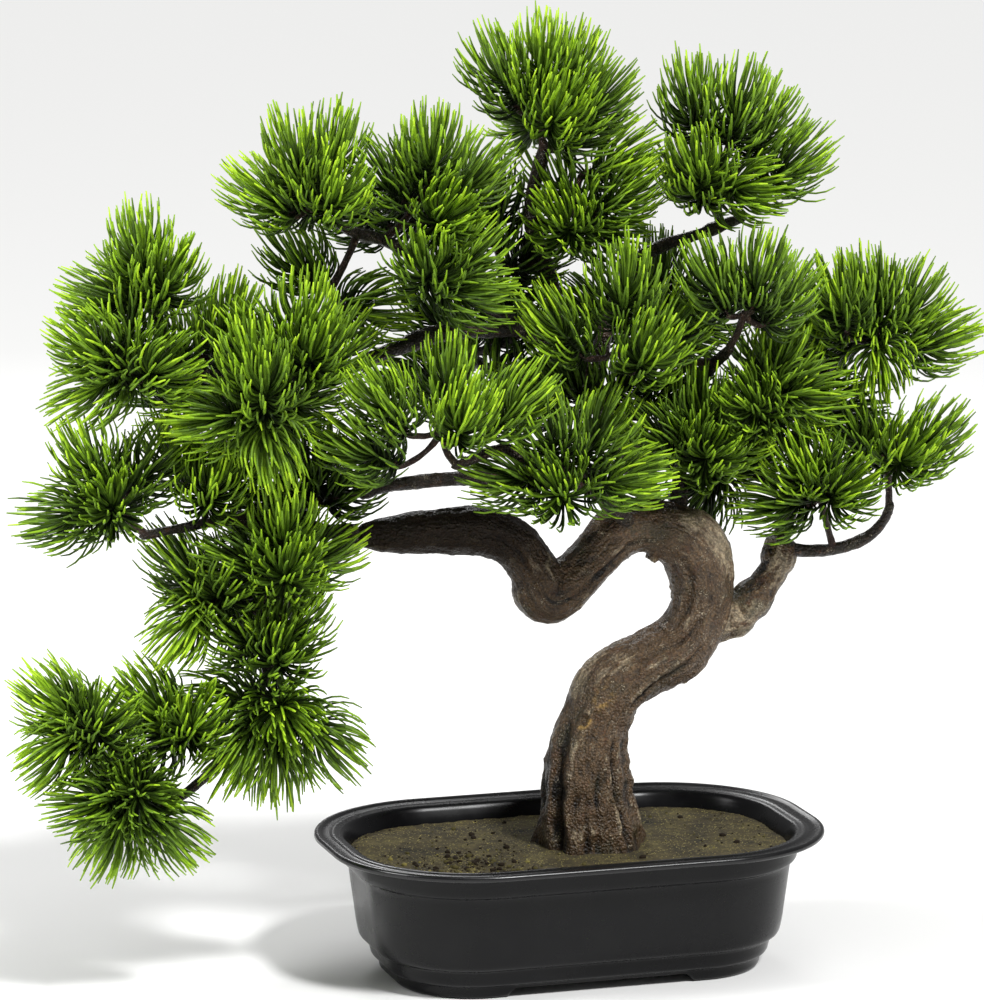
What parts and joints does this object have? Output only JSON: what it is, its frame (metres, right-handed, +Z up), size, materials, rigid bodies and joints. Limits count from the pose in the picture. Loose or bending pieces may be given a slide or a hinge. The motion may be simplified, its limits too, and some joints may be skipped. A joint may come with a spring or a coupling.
{
  "type": "artificial pine bonsai",
  "caption": "Artificial pine bonsai: a moulded leaning trunk with a dipping bough and tufts of needles, set in a shallow oval black bowl.",
  "frame": {"origin": "on the ground under the middle of the whole plant's bounding box", "axes": "+X along the bowl's long side, away from the long hanging bough; +Y from the viewed front to the back; +Z up"},
  "size_m": [0.565, 0.1972, 0.5444],
  "materials": {
    "bowl": "satin black moulded plastic",
    "soil": "rough filler with moss-coloured flock",
    "bark": "moulded bark, matt, washed darker in the furrows",
    "twig": "dark brown moulded twig",
    "needles": "green plastic needles, lighter at the tips",
    "inner_needles": "darker green plastic needles inside and behind the crown"
  },
  "bodies": {
    "root": {"apex_bough": "twig", "apex_needles": "needles", "back_centre_needles": "inner_needles", "back_far_right_needles": "inner_needles", "back_hang_needles": "inner_needles", "back_left_needles": "inner_needles", "back_right_needles": "inner_needles", "back_top_needles": "inner_needles", "bowl": "bowl", "centre_left_needles": "needles", "crown_bough": "twig", "far_left_mid_needles": "needles", "far_left_top_needles": "needles", "front_bough": "twig", "front_centre_needles": "needles", "front_left_needles": "needles", "hang_left_needles": "needles", "hang_low_needles": "needles", "hang_mid_needles": "needles", "hang_top_needles": "needles", "hanging_bough": "twig", "inner_centre_needles": "inner_needles", "inner_right_needles": "inner_needles", "inner_top_needles": "inner_needles", "left_bough_arm": "bark", "left_bough_crest": "bark", "left_bough_dip": "bark", "left_dark_needles": "inner_needles", "left_high_bough": "twig", "left_mid_needles": "needles", "left_mid_right_needles": "needles", "left_reach_bough": "twig", "left_star_needles": "needles", "left_top_right_needles": "needles", "left_upper_needles": "needles", "low_bough": "twig", "low_left_needles": "needles", "low_mid_needles": "needles", "low_tail_needles": "needles", "mid_upper_needles": "needles", "right_bough": "bark", "right_end_needles": "needles", "right_far_bough": "twig", "right_far_needles": "needles", "right_front_bough": "twig", "right_front_needles": "needles", "right_inner_needles": "needles", "right_low_bough": "twig", "right_low_needles": "needles", "right_mid_needles": "needles", "right_under_needles": "needles", "rod_bough": "twig", "soil": "soil", "trunk": "bark", "upper_centre_needles": "needles", "upper_left_bough": "twig", "upper_left_low_needles": "needles", "upper_left_needles": "needles", "upper_right_bough": "twig", "upper_right_needles": "needles"}
  },
  "joints": []
}
